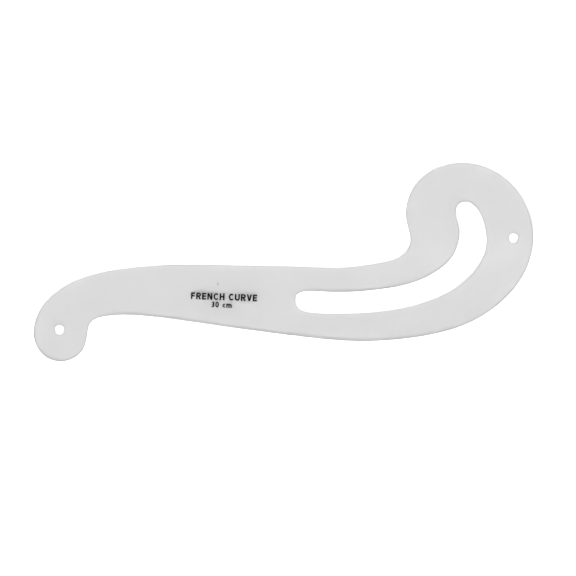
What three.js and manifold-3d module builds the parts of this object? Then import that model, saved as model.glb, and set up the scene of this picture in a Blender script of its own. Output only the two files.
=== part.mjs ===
// French curve, 305 mm long: one flat piece of clear acrylic sheet, cut to a smooth outline with an
// open slot through its round head, two hanging holes, and a generic mark printed in black ink.
// Millimetres, +Z up. The origin is under the middle of the plate's box, on its underside.

import * as THREE from 'three';
import { mergeVertices } from 'three/addons/utils/BufferGeometryUtils.js';
import Module from 'manifold-3d';

const wasm = await Module();
wasm.setup();

// ---------------------------------------------------------------- driving dimensions

const SHEET_THICKNESS = 2;
const EDGE_BREAK = 0.4;              // the small bevel along every edge of the sheet
const HANGING_HOLE_DIAMETER = 6;
const TAIL_HOLE = new THREE.Vector2(-136.8, -41.4);
const HEAD_HOLE = new THREE.Vector2(140.5, 14.6);

const INK_THICKNESS = 0.05;
const MARK_TURN = -2;                // degrees about +Z: the mark sits a little out of square
const PEN_WIDTH = 0.22;              // stroke of a letter, as a share of its cap height
const LETTER_GAP = 0.15;             // between letters, as a share of the cap height
const WORD_GAP = 0.46;               // added between words, as a share of the cap height
const MARK_LINES = [
  { name: 'title', text: 'FRENCH CURVE', capHeight: 4.2, middle: new THREE.Vector2(-36.2, -21.1) },
  { name: 'length', text: '30 cm', capHeight: 3.5, middle: new THREE.Vector2(-37.8, -25.9) },
];

const LONGEST_FACET = 6;             // along a nearly straight edge
const FACET_TURN = 4;                // degrees of turn from one facet to the next along an edge
const HOLE_FACETS = 36;
const LETTER_FACET_TURN = 15;        // degrees, on the round strokes of a letter

// The cut edges are smooth curves through a few stations. Both run counter-clockwise.
// A heading is the edge's direction there, in degrees from +X. A radius is the radius of the bend
// there: positive where the edge turns left, negative where it turns right.
const FLAT = Infinity;

const OUTER_EDGE = [
  // station        x       y     heading  radius
  ['tail_west',   -152.5,  -42.5,  270,     22],
  ['tail_foot',   -136.3,  -60.6,    0,     15],
  ['tail_east',   -124.9,  -56.2,   42,     13],
  ['tail_turn',   -120.0,  -44.6,   83,   FLAT],
  ['hook',        -115.4,  -34.9,   30.5,   -9.5],
  ['hook_end',    -108.2,  -32.8,    9,    -48],
  ['waist_top',    -98.3,  -32.1,    0,    -85],
  ['waist_turn',   -55.8,  -36.4,  351.5, FLAT],
  ['belly',         48.3,  -48.2,    0,    150],
  ['bow',          115.1,  -36.1,   26,     75],
  ['head_east',    152.5,   14.9,   90,     44],
  ['crown',        109.2,   60.6,  180,     42],
  ['head_west',     74.8,   29.9,  270,     26],
  ['neck_turn',     76.3,   20.8,  285,   FLAT],
  ['throat',        77.3,   11.3,  258,    -10.5],
  ['throat_end',    58.0,   -0.6,  189.5, -190],
  ['back_dip',      34.1,   -3.3,  181.5, -105],
  ['back_turn',    -26.8,   -2.0,  179,   FLAT],
  ['back_top',     -58.9,   -1.5,  180,    360],
  ['shoulder',    -110.0,   -6.1,  192.5,   85],
  ['tail_back',   -141.8,  -21.1,  224.5,   44],
];

const SLOT_EDGE = [
  // station        x       y     heading  radius
  ['west_end',       7.2,  -23.3,  270,      7.5],
  ['west_corner',   10.9,  -29.4,  333.5,    8],
  ['corner_end',    18.7,  -31.0,  355.5,   80],
  ['low_point',     31.9,  -31.6,    0,    190],
  ['outer_rise',    71.9,  -28.2,   11,    190],
  ['outer_bow',    106.8,  -14.8,   35.5,   37],
  ['outer_east',   124.0,   13.5,   90,     28],
  ['nose_start',   117.4,   33.8,  133.5,   14],
  ['nose',         111.0,   36.9,  180,      6],
  ['nose_west',    105.2,   30.6,  270,     10.5],
  ['inner_turn',   106.3,   24.5,  285,   FLAT],
  ['inner_east',   107.5,   17.5,  270,    -18],
  ['inner_bow',    101.7,    1.6,  230,    -26],
  ['inner_rise',    68.6,  -15.0,  190.5, -100],
  ['inner_low',     33.9,  -18.2,  180,   -240],
  ['inner_end',     18.5,  -17.6,  177.5,   95],
];

// ---------------------------------------------------------------- materials

const acrylic = new THREE.MeshStandardMaterial({
  color: 0xdcdcdc, roughness: 0.08, metalness: 0, transparent: true, opacity: 0.45,
});
const ink = new THREE.MeshStandardMaterial({ color: 0x141414, roughness: 0.55, metalness: 0 });

// ---------------------------------------------------------------- smooth edges

// The edge from one station to the next: a Bezier curve of degree 5, which leaves and arrives
// with the stations' own headings and bends, so the whole edge runs on without a kink.
class EdgeStretch extends THREE.Curve {
  constructor([, x0, y0, heading0, radius0], [, x1, y1, heading1, radius1]) {
    super();
    const start = new THREE.Vector2(x0, y0);
    const end = new THREE.Vector2(x1, y1);
    const turn = THREE.MathUtils.euclideanModulo(heading1 - heading0 + 180, 360) - 180;
    const half = THREE.MathUtils.degToRad(turn / 2);
    this.turn = Math.abs(turn);
    this.run = start.distanceTo(end) * (half === 0 ? 1 : half / Math.sin(half));

    const leave = this.motion(heading0, radius0);
    const arrive = this.motion(heading1, radius1);
    this.poles = [
      start,
      start.clone().addScaledVector(leave.velocity, 1 / 5),
      start.clone().addScaledVector(leave.velocity, 2 / 5).addScaledVector(leave.pull, 1 / 20),
      end.clone().addScaledVector(arrive.velocity, -2 / 5).addScaledVector(arrive.pull, 1 / 20),
      end.clone().addScaledVector(arrive.velocity, -1 / 5),
      end,
    ];
  }

  // How a point passes a station when it takes the whole stretch in one unit of time.
  motion(heading, radius) {
    const angle = THREE.MathUtils.degToRad(heading);
    const forward = new THREE.Vector2(Math.cos(angle), Math.sin(angle));
    const left = new THREE.Vector2(-forward.y, forward.x);
    return {
      velocity: forward.multiplyScalar(this.run),
      pull: left.multiplyScalar(this.run ** 2 / radius),
    };
  }

  getPoint(t, target = new THREE.Vector2()) {
    let points = this.poles;
    while (points.length > 1) {
      points = points.slice(1).map((point, i) => points[i].clone().lerp(point, t));
    }
    return target.copy(points[0]);
  }

  facets() {
    return Math.ceil(Math.max(this.turn / FACET_TURN, this.run / LONGEST_FACET));
  }
}

// The closed loop of points along an edge.
function edgeLoop(stations) {
  return stations.flatMap((station, i) => {
    const stretch = new EdgeStretch(station, stations[(i + 1) % stations.length]);
    return stretch.getPoints(stretch.facets()).slice(0, -1);
  });
}

function circleLoop(centre, radius, facets) {
  return Array.from({ length: facets }, (_, i) => {
    const angle = (2 * Math.PI * i) / facets;
    return new THREE.Vector2(Math.cos(angle), Math.sin(angle)).multiplyScalar(radius).add(centre);
  });
}

// ---------------------------------------------------------------- the acrylic plate

function curvePlate() {
  const shape = new THREE.Shape(edgeLoop(OUTER_EDGE));
  shape.holes.push(new THREE.Path(edgeLoop(SLOT_EDGE)));
  for (const centre of [TAIL_HOLE, HEAD_HOLE]) {
    shape.holes.push(new THREE.Path(circleLoop(centre, HANGING_HOLE_DIAMETER / 2, HOLE_FACETS)));
  }
  const geometry = new THREE.ExtrudeGeometry(shape, {
    depth: SHEET_THICKNESS - 2 * EDGE_BREAK,
    bevelThickness: EDGE_BREAK,
    bevelSize: EDGE_BREAK,
    bevelOffset: -EDGE_BREAK,
    bevelSegments: 1,
  });
  const mesh = new THREE.Mesh(geometry.translate(0, 0, EDGE_BREAK), acrylic);
  mesh.name = 'curve_plate';
  return mesh;
}

// ---------------------------------------------------------------- the letters

// Letters are drawn on a cap height of 1, with y = 0 on the base line. Each stroke is a flat shape
// as wide as the pen, and a letter is its strokes joined into one film.

// An upright or slanted stroke, cut level at both ends.
function stem(x0, y0, x1, y1) {
  const halfWidth = (PEN_WIDTH / 2) * Math.hypot(1, (x1 - x0) / (y1 - y0));
  return new THREE.Shape([
    new THREE.Vector2(x0 - halfWidth, y0),
    new THREE.Vector2(x0 + halfWidth, y0),
    new THREE.Vector2(x1 + halfWidth, y1),
    new THREE.Vector2(x1 - halfWidth, y1),
  ]);
}

// A level stroke whose middle runs at height y.
function bar(x0, x1, y) {
  return new THREE.Shape([
    new THREE.Vector2(x0, y - PEN_WIDTH / 2),
    new THREE.Vector2(x1, y - PEN_WIDTH / 2),
    new THREE.Vector2(x1, y + PEN_WIDTH / 2),
    new THREE.Vector2(x0, y + PEN_WIDTH / 2),
  ]);
}

// A round stroke on an ellipse, counter-clockwise between two angles in degrees.
// Its outside touches the ellipse of radii rx and ry.
function bow(cx, cy, rx, ry, from, to) {
  const steps = Math.ceil((to - from) / LETTER_FACET_TURN);
  const arc = (inset) => Array.from({ length: steps + 1 }, (_, i) => {
    const angle = THREE.MathUtils.degToRad(from + ((to - from) * i) / steps);
    return new THREE.Vector2(cx + (rx - inset) * Math.cos(angle), cy + (ry - inset) * Math.sin(angle));
  });
  return new THREE.Shape([...arc(0), ...arc(PEN_WIDTH).reverse()]);
}

const HALF_PEN = PEN_WIDTH / 2;
const TOP_BAR = 1 - HALF_PEN;
const MIDDLE_BAR = 0.51;
const BOWL = (0.5 + HALF_PEN) / 2;   // upright radius of one of two bowls that share a middle stroke
const ARCH = (0.48 + HALF_PEN) / 2;  // level radius of one of the two arches of an m
const LEFT_STEM = stem(HALF_PEN, 0, HALF_PEN, 1);
const rightStem = (width) => stem(width - HALF_PEN, 0, width - HALF_PEN, 1);

const LETTERS = {
  F: {
    width: 0.6,
    strokes: [LEFT_STEM, bar(HALF_PEN, 0.6, TOP_BAR), bar(HALF_PEN, 0.53, MIDDLE_BAR)],
  },
  R: {
    width: 0.71,
    strokes: [
      LEFT_STEM,
      bar(HALF_PEN, 0.4, TOP_BAR),
      bar(HALF_PEN, 0.4, 0.5),
      bow(0.4, 1 - BOWL, 0.31, BOWL, -90, 90),
      stem(0.6, 0, 0.36, 0.5),
    ],
  },
  E: {
    width: 0.62,
    strokes: [
      LEFT_STEM,
      bar(HALF_PEN, 0.62, TOP_BAR),
      bar(HALF_PEN, 0.57, MIDDLE_BAR),
      bar(HALF_PEN, 0.62, HALF_PEN),
    ],
  },
  N: { width: 0.74, strokes: [LEFT_STEM, rightStem(0.74), stem(0.63, 0, 0.11, 1)] },
  C: { width: 0.74, strokes: [bow(0.4, 0.5, 0.4, 0.5, 42, 318)] },
  H: { width: 0.72, strokes: [LEFT_STEM, rightStem(0.72), bar(HALF_PEN, 0.63, MIDDLE_BAR)] },
  U: {
    width: 0.72,
    strokes: [
      stem(HALF_PEN, 0.33, HALF_PEN, 1),
      stem(0.72 - HALF_PEN, 0.33, 0.72 - HALF_PEN, 1),
      bow(0.36, 0.34, 0.36, 0.34, 180, 360),
    ],
  },
  V: { width: 0.74, strokes: [stem(0.37, 0, 0.1, 1), stem(0.37, 0, 0.64, 1)] },
  3: {
    width: 0.58,
    strokes: [
      bow(0.28, 1 - BOWL, 0.28, BOWL, -90, 140),
      bow(0.28, BOWL, 0.3, BOWL, -140, 90),
      bar(0.17, 0.3, 0.5),
    ],
  },
  0: { width: 0.62, strokes: [bow(0.31, 0.5, 0.31, 0.5, 0, 180), bow(0.31, 0.5, 0.31, 0.5, 180, 360)] },
  c: { width: 0.54, strokes: [bow(0.3, 0.35, 0.3, 0.35, 45, 315)] },
  m: {
    width: 0.96,
    strokes: [
      stem(HALF_PEN, 0, HALF_PEN, 0.7),
      bow(ARCH, 0.4, ARCH, 0.3, 0, 180),
      stem(0.48, 0, 0.48, 0.41),
      bow(0.96 - ARCH, 0.4, ARCH, 0.3, 0, 180),
      stem(0.96 - HALF_PEN, 0, 0.96 - HALF_PEN, 0.41),
    ],
  },
};

// A stroke at its real size, as a solid for joining.
function strokeSolid(shape, capHeight) {
  const geometry = new THREE.ExtrudeGeometry(shape, { depth: 1, bevelEnabled: false });
  geometry.scale(capHeight, capHeight, INK_THICKNESS);
  geometry.deleteAttribute('normal');
  geometry.deleteAttribute('uv');
  const merged = mergeVertices(geometry);
  return new wasm.Manifold(new wasm.Mesh({
    numProp: 3,
    vertProperties: merged.attributes.position.array,
    triVerts: new Uint32Array(merged.index.array),
  }));
}

function letterFilm(character, capHeight) {
  const film = LETTERS[character].strokes
    .map((shape) => strokeSolid(shape, capHeight))
    .reduce((joined, stroke) => joined.add(stroke));
  const { vertProperties, triVerts } = film.getMesh();
  const geometry = new THREE.BufferGeometry();
  geometry.setAttribute('position', new THREE.BufferAttribute(new Float32Array(vertProperties), 3));
  geometry.setIndex(new THREE.BufferAttribute(new Uint32Array(triVerts), 1));
  geometry.computeVertexNormals();
  return geometry;
}

// One line of the mark, centred on its middle, each letter a film of its own on the plate's face.
function markLine({ name, text, capHeight, middle }) {
  const line = new THREE.Group();
  let pen = 0;
  for (const character of text) {
    if (character === ' ') {
      pen += WORD_GAP * capHeight;
      continue;
    }
    const film = new THREE.Mesh(letterFilm(character, capHeight), ink);
    film.name = `ink_${name}_${line.children.length + 1}`;
    film.position.x = pen;
    pen += (LETTERS[character].width + LETTER_GAP) * capHeight;
    line.add(film);
  }
  const lineWidth = pen - LETTER_GAP * capHeight;
  for (const film of line.children) {
    film.position.x -= lineWidth / 2;
    film.position.y -= capHeight / 2;
  }
  line.position.set(middle.x, middle.y, SHEET_THICKNESS);
  line.rotation.z = THREE.MathUtils.degToRad(MARK_TURN);
  return line;
}

const frenchCurve = new THREE.Group();
frenchCurve.add(curvePlate(), ...MARK_LINES.map(markLine));

export default frenchCurve;
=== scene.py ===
"""A clear acrylic french curve lying on a pale floor, seen from straight above.

The plate and the printed letters keep the outlines of their CAD solids and get finer meshes: the
plate a smooth cut edge with rounded arrises, the letters the soft corners of printed ink.
"""

import math
from typing import NamedTuple

import bpy
import numpy as np
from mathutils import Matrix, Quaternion, Vector
from mathutils.geometry import delaunay_2d_cdt


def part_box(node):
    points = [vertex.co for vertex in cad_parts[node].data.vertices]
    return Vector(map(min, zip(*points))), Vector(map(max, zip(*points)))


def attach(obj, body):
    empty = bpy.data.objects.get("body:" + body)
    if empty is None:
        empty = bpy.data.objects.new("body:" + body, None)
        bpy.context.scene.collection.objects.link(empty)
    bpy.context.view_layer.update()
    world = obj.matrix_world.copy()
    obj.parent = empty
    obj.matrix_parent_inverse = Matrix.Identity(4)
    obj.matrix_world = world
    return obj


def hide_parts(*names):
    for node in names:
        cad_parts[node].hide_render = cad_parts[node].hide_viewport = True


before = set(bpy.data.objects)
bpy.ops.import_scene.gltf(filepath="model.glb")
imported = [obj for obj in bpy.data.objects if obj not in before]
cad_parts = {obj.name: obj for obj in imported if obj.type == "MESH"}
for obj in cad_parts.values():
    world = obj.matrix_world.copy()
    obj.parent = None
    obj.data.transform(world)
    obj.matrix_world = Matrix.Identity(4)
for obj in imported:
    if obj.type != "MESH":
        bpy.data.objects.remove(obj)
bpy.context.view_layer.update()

MM = 0.001

# ---------------------------------------------------------------- the plate

PLATE_NODE = "curve_plate"
STEPS_PER_FACET = 3              # points of the smooth edge for each facet of the CAD edge
ARRIS = 0.4 * MM                 # radius of the rounded corner between face and cut edge
ARRIS_STEPS = 6
WORN_BAND = 1.0 * MM             # how far handling wear reaches in over the face
FACE_GRID = 4 * MM               # spacing of the points inside the two flat faces

# ---------------------------------------------------------------- the print

INK_PREFIX = "ink_"
INK_EMBED = 0.02 * MM            # how deep the ink is bonded into the acrylic
INK_SHOULDER = 0.02 * MM         # radius where the film's top turns down to its side
INK_SHOULDER_STEPS = 3
INK_STEP = 0.08 * MM             # between the points of a printed outline
INK_SOFTNESS = 0.06 * MM         # how far a letter's corners are rounded off
INK_RAGGED = 0.01 * MM           # how far its edge strays, and over what length
INK_RAGGED_WAVE = 0.15 * MM
INK_SEED = 5

FLECK_PLACE = (-39.95 * MM, -13.25 * MM)
FLECK_SIZE = (0.3 * MM, 2.1 * MM)
FLECK_LEAN = 0.25                # how far its width strays from an even oval
FLECK_POINTS = 48

# ---------------------------------------------------------------- the set

FLOOR_GAP = 0.06 * MM            # air under a sheet that lies on paper
FLOOR_SIZE = 8.0

LENS = 300.0                     # focal length and sensor width, in millimetres
SENSOR = 36.0
VIEW_WIDTH = 0.3518              # the width of floor that the picture covers
VIEW_CENTRE = Vector((0.00283, -0.01569, 0.0))     # the floor point in the picture's middle
VIEW_DEPTH = 50.0                # how far the camera sees

SKY_ZENITH = 1.53                # brightness of the sky overhead and at the horizon
SKY_HORIZON = 0.565
KEY_PLACE = (-1.0, -3.96, 2.87)
KEY_SIZE = (0.9, 0.9)
KEY_WATTS = 480
PANEL_PLACE = (0.277, 0.575, 4.5)
PANEL_AIM = (0.277, 0.575, 0)    # the ceiling lights face straight down
PANEL_SIZE = (2.4, 1.2)
PANEL_WATTS = 3.4
PANEL_TURN = -7.4                # degrees
STRIP_PLACE = (0.515, 0.0292, 4.4)
STRIP_AIM = (0.515, 0.0292, 0)
STRIP_SIZE = (0.6, 0.034)
STRIP_WATTS = 0.045

# ---------------------------------------------------------------- limits and slots

MERGE_DISTANCE = 1e-6            # corners of the CAD mesh closer than this are one point
FILL_TOLERANCE = 1e-9            # points closer than this would be joined by the filling
UPWARD = 0.2                     # a face whose normal rises more than this looks up
FACE_SLOT, EDGE_SLOT = 0, 1


def add_object(name, data):
    made = bpy.data.objects.new(name, data)
    bpy.context.scene.collection.objects.link(made)
    return made


# ---------------------------------------------------------------- outlines

def outline_loops(node):
    """Closed loops of points round the CAD node's upward faces, with the material on the left."""
    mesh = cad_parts[node].data
    place_of = {}
    edges = {}
    for face in mesh.polygons:
        if face.normal.z < UPWARD:
            continue
        corners = []
        for vertex in face.vertices:
            place = mesh.vertices[vertex].co
            key = (round(place.x / MERGE_DISTANCE), round(place.y / MERGE_DISTANCE))
            place_of[key] = (place.x, place.y)
            corners.append(key)
        for edge in zip(corners, corners[1:] + corners[:1]):
            edges[edge] = True
    following = {start: end for start, end in edges if (end, start) not in edges}
    loops = []
    while following:
        here = next(iter(following))
        loop = []
        while here in following:
            loop.append(place_of[here])
            here = following.pop(here)
        loops.append(np.array(loop))
    return loops


def smooth_loop(points, steps):
    """A closed cubic spline through the points: its places and directions, steps to each span."""
    count = len(points)
    ahead = np.roll(points, -1, axis=0)
    span = np.linalg.norm(ahead - points, axis=1)[:, None]
    slope = (ahead - points) / span
    matrix = np.zeros((count, count))
    for i in range(count):
        matrix[i, i - 1] += span[i - 1, 0]
        matrix[i, i] += 2 * (span[i - 1, 0] + span[i, 0])
        matrix[i, (i + 1) % count] += span[i, 0]
    bend = np.linalg.solve(matrix, 6 * (slope - np.roll(slope, 1, axis=0)))
    bend_ahead = np.roll(bend, -1, axis=0)
    places = []
    directions = []
    for b in np.arange(steps) / steps:
        a = 1 - b
        sag = ((a ** 3 - a) * bend + (b ** 3 - b) * bend_ahead) * span ** 2 / 6
        turn = ((3 * b ** 2 - 1) * bend_ahead - (3 * a ** 2 - 1) * bend) * span / 6
        places.append(a * points + b * ahead + sag)
        directions.append((slope + turn) / np.linalg.norm(slope + turn, axis=1)[:, None])
    return np.stack(places, axis=1).reshape(-1, 2), np.stack(directions, axis=1).reshape(-1, 2)


def directions_along(places):
    """The direction of a closed row of places at each of them."""
    ahead = np.roll(places, -1, axis=0) - np.roll(places, 1, axis=0)
    return ahead / np.linalg.norm(ahead, axis=1)[:, None]


def outward(directions):
    """The way that the edge faces, with the material on its left."""
    return np.stack([directions[:, 1], -directions[:, 0]], axis=1)


def softened(values, spacing, reach):
    """A closed row of values, blurred along its length by a Gaussian as wide as reach."""
    waves = np.fft.fftfreq(len(values), d=spacing)
    kept = np.exp(-2 * (math.pi * waves * reach) ** 2)[:, None]
    return np.fft.ifft(np.fft.fft(values, axis=0) * kept, axis=0).real


def printed_loop(points, random):
    """The outline as ink prints it: even short steps, soft corners and a faintly ragged edge."""
    closed = np.vstack([points, points[:1]])
    run = np.concatenate([[0], np.cumsum(np.linalg.norm(np.diff(closed, axis=0), axis=1))])
    count = round(run[-1] / INK_STEP)
    spacing = run[-1] / count
    at = np.arange(count) * spacing
    even = np.stack([np.interp(at, run, closed[:, axis]) for axis in (0, 1)], axis=1)
    places = softened(even, spacing, INK_SOFTNESS)
    stray = softened(random.normal(size=(count, 1)), spacing, INK_RAGGED_WAVE)
    places += outward(directions_along(places)) * stray / stray.std() * INK_RAGGED
    return places, directions_along(places)


# ---------------------------------------------------------------- flat sheets with shaped edges

class Row(NamedTuple):
    """A row of points round an edge, and the outward and upward shares of the normal there."""
    inset: float
    z: float
    out: float
    up: float
    wear: float = 1.0
    slot: int = EDGE_SLOT


def shoulder(top, radius, steps):
    """Rows of a quarter round, from the level top down to the upright side."""
    angles = [math.pi / 2 * i / steps for i in range(steps + 1)]
    return [Row(inset=radius * (1 - math.sin(angle)), z=top - radius * (1 - math.cos(angle)),
                out=math.sin(angle), up=math.cos(angle)) for angle in angles]


def inside(loops, samples):
    """Which samples lie inside an odd number of the loops."""
    result = np.zeros(len(samples), bool)
    x, y = samples[:, 0], samples[:, 1]
    for loop in loops:
        for (x0, y0), (x1, y1) in zip(loop, np.roll(loop, -1, axis=0)):
            if y0 != y1:
                crosses = (y0 > y) != (y1 > y)
                result ^= crosses & (x < x0 + (y - y0) * (x1 - x0) / (y1 - y0))
    return result


def grid_inside(loops, spacing):
    """A triangular grid of points inside the loops, clear of their edges."""
    rim = np.concatenate(loops)
    low, high = rim.min(axis=0), rim.max(axis=0)
    grid = []
    for row, y in enumerate(np.arange(low[1], high[1], spacing * math.sqrt(3) / 2)):
        shift = spacing / 2 * (row % 2)
        grid.extend((x + shift, y) for x in np.arange(low[0], high[0], spacing))
    grid = np.array(grid)
    grid = grid[inside(loops, grid)]
    gap = np.array([np.linalg.norm(rim - point, axis=1).min() for point in grid])
    return grid[gap > spacing / 2]


def fill(loops, spacing):
    """Triangles over the flat face inside the loops, and the points added between them."""
    added = grid_inside(loops, spacing) if spacing else np.zeros((0, 2))
    edges = []
    start = 0
    for loop in loops:
        edges.extend((start + i, start + (i + 1) % len(loop)) for i in range(len(loop)))
        start += len(loop)
    points = np.concatenate([*loops, added])
    vectors = [Vector(point) for point in points]
    made, _, triangles = delaunay_2d_cdt(vectors, edges, [], 0, FILL_TOLERANCE)[:3]
    if len(made) != len(points):
        raise ValueError("an outline crosses itself")
    kept = inside(loops, points[np.array(triangles)].mean(axis=1))
    return added, [corners for corners, keep in zip(triangles, kept) if keep]


class SheetMesh:
    """The mesh of a flat sheet: walls of rows round its loops, and two filled faces."""

    def __init__(self):
        self.vertices = []
        self.wear = []
        self.faces = []
        self.slots = []
        self.normals = []            # of each face corner
        self.runs = []               # each face corner's place along and across the edge, in metres

    def add_points(self, points, z, wear):
        """Points at one height. Returns their numbers."""
        first = len(self.vertices)
        self.vertices.extend((x, y, z) for x, y in points)
        self.wear.extend([wear] * len(points))
        return list(range(first, len(self.vertices)))

    def add_quad(self, corners, slot, normals, runs):
        self.faces.append(corners)
        self.slots.append(slot)
        self.normals.extend(normals)
        self.runs.extend(runs)

    def add_edge(self, places, directions, rows):
        """Walls between the rows round one loop. Returns the numbers of its first and last rows."""
        away = outward(directions)
        steps = np.linalg.norm(np.roll(places, -1, axis=0) - places, axis=1)
        run = np.concatenate([[0], np.cumsum(steps)])
        rings = [self.add_points(places - away * row.inset, row.z, row.wear) for row in rows]
        facing = [[(x * row.out, y * row.out, row.up) for x, y in away] for row in rows]
        depth = 0.0
        for level, (upper, lower) in enumerate(zip(rows, rows[1:])):
            deeper = depth + math.hypot(lower.inset - upper.inset, lower.z - upper.z)
            above, below = rings[level], rings[level + 1]
            high, low = facing[level], facing[level + 1]
            slot = FACE_SLOT if FACE_SLOT in (upper.slot, lower.slot) else EDGE_SLOT
            for i in range(len(places)):
                j = (i + 1) % len(places)
                start, end = run[i], run[i + 1]
                self.add_quad((above[i], below[i], below[j], above[j]), slot,
                              (high[i], low[i], low[j], high[j]),
                              ((start, depth), (start, deeper), (end, deeper), (end, depth)))
            depth = deeper
        return rings[0], rings[-1]

    def add_face(self, rim, added, triangles, row, up):
        """The upper face, where up is 1, or the lower one, where it is -1."""
        numbers = rim + self.add_points(added, row.z, 0.0)
        for triangle in triangles:
            corners = tuple(numbers[i] for i in triangle)
            corners = corners if up > 0 else corners[::-1]
            self.faces.append(corners)
            self.slots.append(FACE_SLOT)
            self.normals.extend([(0, 0, up)] * 3)
            self.runs.extend(self.vertices[i][:2] for i in corners)

    def build(self, name, materials):
        mesh = bpy.data.meshes.new(name)
        mesh.from_pydata(self.vertices, [], self.faces)
        for material in materials:
            mesh.materials.append(material)
        last_slot = len(materials) - 1
        mesh.polygons.foreach_set("material_index", [min(slot, last_slot) for slot in self.slots])
        mesh.polygons.foreach_set("use_smooth", [True] * len(self.faces))
        mesh.attributes.new("wear", "FLOAT", "POINT").data.foreach_set("value", self.wear)
        mesh.uv_layers.new(name="edge_run").data.foreach_set("uv", np.ravel(self.runs))
        mesh.normals_split_custom_set(self.normals)
        return add_object(name, mesh)


def build_sheet(name, loops, rows, spacing, materials):
    """A closed sheet inside the loops, whose edge is shaped by the rows from top to bottom."""
    sheet = SheetMesh()
    rims = [sheet.add_edge(places, directions, rows) for places, directions in loops]
    land = [places - outward(directions) * rows[0].inset for places, directions in loops]
    added, triangles = fill(land, spacing)
    sheet.add_face([i for top, _ in rims for i in top], added, triangles, rows[0], 1)
    if rows[-1].inset != rows[0].inset:
        land = [places - outward(directions) * rows[-1].inset for places, directions in loops]
        added, triangles = fill(land, spacing)
    sheet.add_face([i for _, bottom in rims for i in bottom], added, triangles, rows[-1], -1)
    return sheet.build(name, materials)


# ---------------------------------------------------------------- pattern nodes

NOISE_RANGE = (0.3, 0.7)         # nearly all of a noise's values lie between these
HAIRLINE_CREST = (0.7, 0.78)     # a scratch starts at the first value and is full at the second
HAIRLINE_DEPTH = 0.5 * MM        # how deep into the sheet one scratch pattern runs


def add_node(tree, kind, inputs, **settings):
    """A shader node. Each input is a plain value, or another node's output, which is linked."""
    made = tree.nodes.new("ShaderNode" + kind)
    for name, value in settings.items():
        setattr(made, name, value)
    for name, value in inputs.items():
        if isinstance(value, bpy.types.NodeSocket):
            tree.links.new(value, made.inputs[name])
        else:
            made.inputs[name].default_value = value
    return made


def maths(tree, operation, first, second):
    return add_node(tree, "Math", {0: first, 1: second}, operation=operation).outputs[0]


def spread(tree, value, low, high, new_low, new_high):
    """The value, stretched so that low to high becomes new_low to new_high, and held there."""
    inputs = {"Value": value, "From Min": low, "From Max": high,
              "To Min": new_low, "To Max": new_high}
    return add_node(tree, "MapRange", inputs).outputs["Result"]


def cloud(tree, place, size, detail=2.0):
    """Soft random patches from 0 to 1, about as large as size along each axis."""
    scaled = add_node(tree, "Mapping", {"Vector": place, "Scale": size}, vector_type="TEXTURE")
    inputs = {"Vector": scaled.outputs["Vector"], "Scale": 1.0, "Detail": detail}
    return add_node(tree, "TexNoise", inputs).outputs["Fac"]


def hairlines(tree, place, angle, length, spacing):
    """Fine scratches in one direction: 1 along a scratch and 0 beside it."""
    inputs = {"Vector": place, "Rotation": (0, 0, angle), "Scale": (length, spacing, HAIRLINE_DEPTH)}
    turned = add_node(tree, "Mapping", inputs, vector_type="TEXTURE")
    inputs = {"Vector": turned.outputs["Vector"], "Scale": 1.0, "Detail": 0.0}
    noise = add_node(tree, "TexNoise", inputs).outputs["Fac"]
    return spread(tree, noise, *HAIRLINE_CREST, 0, 1)


def relief(tree, height, depth, under=None):
    """A bump whose height from 0 to 1 stands for depth, on top of the bump under it."""
    inputs = {"Height": height, "Distance": depth, "Strength": 1.0}
    if under:
        inputs["Normal"] = under
    return add_node(tree, "Bump", inputs).outputs["Normal"]


def new_material(name):
    material = bpy.data.materials.new(name)
    material.use_nodes = True
    return material, material.node_tree, material.node_tree.nodes["Principled BSDF"]


# ---------------------------------------------------------------- materials

ACRYLIC_IOR = 1.49

FACE_TINT = (0.754, 0.757)       # the share of light that each face lets through, cloudy to clear
FACE_ROUGHNESS = (0.03, 0.042)   # clean to smudged
SMUDGE_TINTING = (0.35, 0.65)    # the smudge noise's values that change the tint
SMUDGE_DULLING = (0.4, 0.65)     # and those that change the roughness
RIPPLE_HEIGHT = 0.008 * MM

SCRATCH_ANGLES = (0.1, 0.62, 1.35, 2.05, 2.7)
SCRATCH_LENGTHS = (22 * MM, 28 * MM, 34 * MM, 40 * MM, 46 * MM)
SCRATCH_SPACING = 0.45 * MM
SCRATCH_DEPTH = 0.0008 * MM
SCRATCH_ROUGHNESS = 0.12         # what a scratch adds to the face's roughness
BEND_SCALE = 12.0                # bends of the scratches per metre, and how far they lead astray
BEND_REACH = 6 * MM

WEAR_HEIGHT = 0.004 * MM
WEAR_ROUGHNESS = 0.25            # what wear at the arris adds to the roughness

EDGE_TINT_AND_PAINTED_SHADE = (0.5, 0.56)          # the cut edge lets less through than the polished faces, and is darkened further as painted shade for the dark line along the rim
EDGE_ROUGHNESS = (0.14, 0.3)     # in the hollows and on the crests of the cutter marks
EDGE_WAVE_HEIGHT = 0.012 * MM
CUTTER_MARK_HEIGHT = 0.0025 * MM
PIT_CREST = (0.62, 0.7)          # a pit starts at the first value and is full at the second
PIT_DEPTH = 0.002 * MM

INK_TONE = (0.002, 0.006)        # the darkest and the lightest patches of its black
INK_ROUGHNESS = (0.42, 0.6)
INK_SPECULAR = 0.04
PEEL_HEIGHT = 0.004 * MM
PINHOLE_CREST = (0.74, 0.8)
PINHOLE_TONE = 0.04              # what a pinhole adds to the ink's tone
PINHOLE_DEPTH = 0.01 * MM

CARD_TONE = (0.89, 0.91)
CARD_ROUGHNESS = 0.9
TOOTH_HEIGHT = 0.01 * MM


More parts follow.
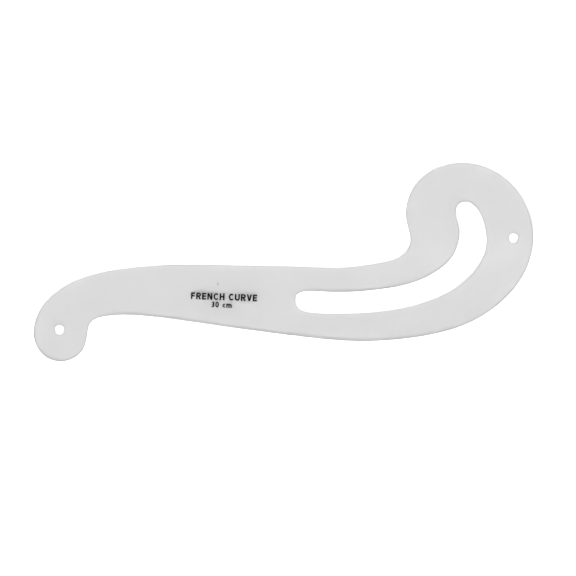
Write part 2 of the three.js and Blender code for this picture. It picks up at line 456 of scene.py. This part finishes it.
def scratches(tree, place):
    """Hairline scratches in several directions, none of them quite straight."""
    bend = add_node(tree, "TexNoise", {"Vector": place, "Scale": BEND_SCALE, "Detail": 1.0})
    inputs = {0: bend.outputs["Color"], "Scale": BEND_REACH}
    wander = add_node(tree, "VectorMath", inputs, operation="SCALE")
    inputs = {0: place, 1: wander.outputs["Vector"]}
    bent = add_node(tree, "VectorMath", inputs, operation="ADD").outputs["Vector"]
    total = 0.0
    for angle, length in zip(SCRATCH_ANGLES, SCRATCH_LENGTHS):
        marks = hairlines(tree, bent, angle, length, SCRATCH_SPACING)
        total = maths(tree, "MAXIMUM", total, marks)
    return total


def make_acrylic(shader):
    """Makes a surface clear: its base colour is then the tint of the light that it lets through."""
    shader.inputs["IOR"].default_value = ACRYLIC_IOR
    shader.inputs["Transmission Weight"].default_value = 1.0


def acrylic_face_material():
    """Polished acrylic: faint smudges and hairline scratches from handling, dulled by the arris."""
    material, tree, shader = new_material("acrylic_face")
    place = add_node(tree, "TexCoord", {}).outputs["Object"]
    wear = add_node(tree, "Attribute", {}, attribute_name="wear").outputs["Fac"]
    marks = scratches(tree, place)
    smudge = cloud(tree, place, (55 * MM, 40 * MM, 1 * MM), 4.0)
    grain = cloud(tree, place, (1.2 * MM, 1.2 * MM, 1 * MM))
    ripple = cloud(tree, place, (35 * MM, 28 * MM, 6 * MM), 0.0)
    worn = maths(tree, "MULTIPLY", wear, grain)
    dull = spread(tree, smudge, *SMUDGE_DULLING, *FACE_ROUGHNESS)
    dull = maths(tree, "ADD", dull, maths(tree, "MULTIPLY", marks, SCRATCH_ROUGHNESS))
    dull = maths(tree, "ADD", dull, maths(tree, "MULTIPLY", worn, WEAR_ROUGHNESS))
    normal = relief(tree, ripple, RIPPLE_HEIGHT)
    normal = relief(tree, marks, -SCRATCH_DEPTH, normal)
    normal = relief(tree, worn, WEAR_HEIGHT, normal)
    tint = spread(tree, smudge, *SMUDGE_TINTING, *FACE_TINT)
    tree.links.new(tint, shader.inputs["Base Color"])
    tree.links.new(dull, shader.inputs["Roughness"])
    tree.links.new(normal, shader.inputs["Normal"])
    make_acrylic(shader)
    return material


def acrylic_edge_material():
    """The cut edge, slightly frosted: soft cutter marks across it, a slow wave along it, and a tint
    darkened to paint shade along the rim.
    """
    material, tree, shader = new_material("acrylic_cut_edge")
    run = add_node(tree, "UVMap", {}, uv_map="edge_run").outputs["UV"]
    cutter = cloud(tree, run, (0.35 * MM, 5 * MM, 1.0), 1.0)
    wave = cloud(tree, run, (9 * MM, 3 * MM, 1.0), 1.0)
    grit = cloud(tree, run, (0.12 * MM, 0.12 * MM, 1.0))
    pits = spread(tree, grit, *PIT_CREST, 0, 1)
    normal = relief(tree, wave, EDGE_WAVE_HEIGHT)
    normal = relief(tree, cutter, CUTTER_MARK_HEIGHT, normal)
    normal = relief(tree, pits, -PIT_DEPTH, normal)
    # painted shade: the cut edge's tint is darkened so that a dark line shows along the rim
    tint = spread(tree, wave, *NOISE_RANGE, *EDGE_TINT_AND_PAINTED_SHADE)
    dull = spread(tree, cutter, *NOISE_RANGE, *EDGE_ROUGHNESS)
    tree.links.new(tint, shader.inputs["Base Color"])
    tree.links.new(dull, shader.inputs["Roughness"])
    tree.links.new(normal, shader.inputs["Normal"])
    make_acrylic(shader)
    return material


def ink_material():
    """Screen-printed black ink: an eggshell film, uneven in colour, with a few pinholes."""
    material, tree, shader = new_material("printed_ink")
    place = add_node(tree, "TexCoord", {}).outputs["Object"]
    mottle = cloud(tree, place, (1.1 * MM, 1.1 * MM, 1 * MM), 3.0)
    peel = cloud(tree, place, (0.17 * MM, 0.17 * MM, 1 * MM), 1.0)
    speckle = cloud(tree, place, (0.11 * MM, 0.11 * MM, 1 * MM), 0.0)
    pinholes = spread(tree, speckle, *PINHOLE_CREST, 0, 1)
    tone = spread(tree, mottle, *NOISE_RANGE, *INK_TONE)
    tone = maths(tree, "ADD", tone, maths(tree, "MULTIPLY", pinholes, PINHOLE_TONE))
    dull = spread(tree, mottle, *NOISE_RANGE, *INK_ROUGHNESS)
    normal = relief(tree, peel, PEEL_HEIGHT)
    normal = relief(tree, pinholes, -PINHOLE_DEPTH, normal)
    tree.links.new(tone, shader.inputs["Base Color"])
    tree.links.new(dull, shader.inputs["Roughness"])
    tree.links.new(normal, shader.inputs["Normal"])
    shader.inputs["Specular IOR Level"].default_value = INK_SPECULAR
    return material


def floor_material():
    """Matt white card with a fine tooth."""
    material, tree, shader = new_material("pale_floor")
    place = add_node(tree, "TexCoord", {}).outputs["Object"]
    tooth = cloud(tree, place, (0.6 * MM, 0.6 * MM, 0.6 * MM), 3.0)
    tree.links.new(spread(tree, tooth, *NOISE_RANGE, *CARD_TONE), shader.inputs["Base Color"])
    tree.links.new(relief(tree, tooth, TOOTH_HEIGHT), shader.inputs["Normal"])
    shader.inputs["Roughness"].default_value = CARD_ROUGHNESS
    shader.inputs["Specular IOR Level"].default_value = 0.0
    return material


# ---------------------------------------------------------------- the object's pieces

def build_plate():
    low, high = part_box(PLATE_NODE)
    arris = shoulder(high.z, ARRIS, ARRIS_STEPS)
    worn = Row(inset=ARRIS + WORN_BAND, z=high.z, out=0.0, up=1.0, wear=0.0, slot=FACE_SLOT)
    upper = [worn] + arris
    lower = [row._replace(z=low.z + high.z - row.z, up=-row.up) for row in reversed(upper)]
    loops = [smooth_loop(points, STEPS_PER_FACET) for points in outline_loops(PLATE_NODE)]
    materials = [acrylic_face_material(), acrylic_edge_material()]
    plate = build_sheet("acrylic_plate", loops, upper + lower, FACE_GRID, materials)
    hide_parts(PLATE_NODE)
    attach(plate, "root")


def build_ink_film(name, loops, top, material):
    """A thin film of ink, standing a hair proud of the upper face and bonded into it."""
    rows = shoulder(top, INK_SHOULDER, INK_SHOULDER_STEPS)
    rows.append(Row(inset=0.0, z=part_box(PLATE_NODE)[1].z - INK_EMBED, out=1.0, up=0.0))
    film = build_sheet(name, loops, rows, None, [material])
    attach(film, "root")
    return film


def build_print():
    """Every printed letter, and the stray fleck of ink above them."""
    random = np.random.default_rng(INK_SEED)
    material = ink_material()
    letters = sorted(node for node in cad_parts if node.startswith(INK_PREFIX))
    for node in letters:
        loops = [printed_loop(points, random) for points in outline_loops(node)]
        film = build_ink_film(node + "_film", loops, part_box(node)[1].z, material)
        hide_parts(node)
    angle = np.arange(FLECK_POINTS) * 2 * math.pi / FLECK_POINTS
    width = 1 + FLECK_LEAN * np.cos(2 * angle + 1)
    oval = np.stack([np.cos(angle) * width, np.sin(angle)], axis=1) * FLECK_SIZE / 2
    loop = printed_loop(oval + FLECK_PLACE, random)
    build_ink_film("ink_fleck", [loop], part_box(letters[0])[1].z, material)


# ---------------------------------------------------------------- the set

def build_floor():
    half = FLOOR_SIZE / 2
    mesh = bpy.data.meshes.new("floor")
    mesh.from_pydata([(-half, -half, 0), (half, -half, 0), (half, half, 0), (-half, half, 0)],
                     [], [(0, 1, 2, 3)])
    mesh.materials.append(floor_material())
    floor = add_object("floor", mesh)
    floor.location.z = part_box(PLATE_NODE)[0].z - FLOOR_GAP


def build_world():
    """Even light from above that falls off towards the horizon."""
    world = bpy.data.worlds.new("studio")
    world.use_nodes = True
    tree = world.node_tree
    direction = add_node(tree, "TexCoord", {}).outputs["Generated"]
    height = add_node(tree, "SeparateXYZ", {"Vector": direction}).outputs["Z"]
    background = tree.nodes["Background"]
    background.inputs["Color"].default_value = (1, 1, 1, 1)
    strength = spread(tree, height, 0, 1, SKY_HORIZON, SKY_ZENITH)
    tree.links.new(strength, background.inputs["Strength"])
    bpy.context.scene.world = world


def build_softbox(name, place, aim, size, watts, turn=0.0):
    """A rectangular light that faces aim, turned about the way it faces by turn degrees."""
    light = bpy.data.lights.new(name, "AREA")
    light.shape = "RECTANGLE"
    light.size, light.size_y = size
    light.energy = watts
    lamp = add_object(name, light)
    lamp.location = place
    facing = (Vector(aim) - Vector(place)).to_track_quat("-Z", "Y")
    lamp.rotation_euler = (facing @ Quaternion((0, 0, 1), math.radians(turn))).to_euler()


def build_camera():
    data = bpy.data.cameras.new("camera")
    data.lens = LENS
    data.sensor_width = SENSOR
    data.clip_end = VIEW_DEPTH
    camera = add_object("camera", data)
    low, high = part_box(PLATE_NODE)
    distance = VIEW_WIDTH * LENS / SENSOR
    camera.location = VIEW_CENTRE + Vector((0, 0, (low.z + high.z) / 2 + distance))
    bpy.context.scene.camera = camera


build_plate()
build_print()
build_floor()
build_world()
build_softbox("key_softbox", KEY_PLACE, (0, 0, 0), KEY_SIZE, KEY_WATTS)
build_softbox("ceiling_panel", PANEL_PLACE, PANEL_AIM, PANEL_SIZE, PANEL_WATTS, PANEL_TURN)
build_softbox("ceiling_strip", STRIP_PLACE, STRIP_AIM, STRIP_SIZE, STRIP_WATTS)
build_camera()
bpy.context.scene.view_settings.view_transform = "Standard"
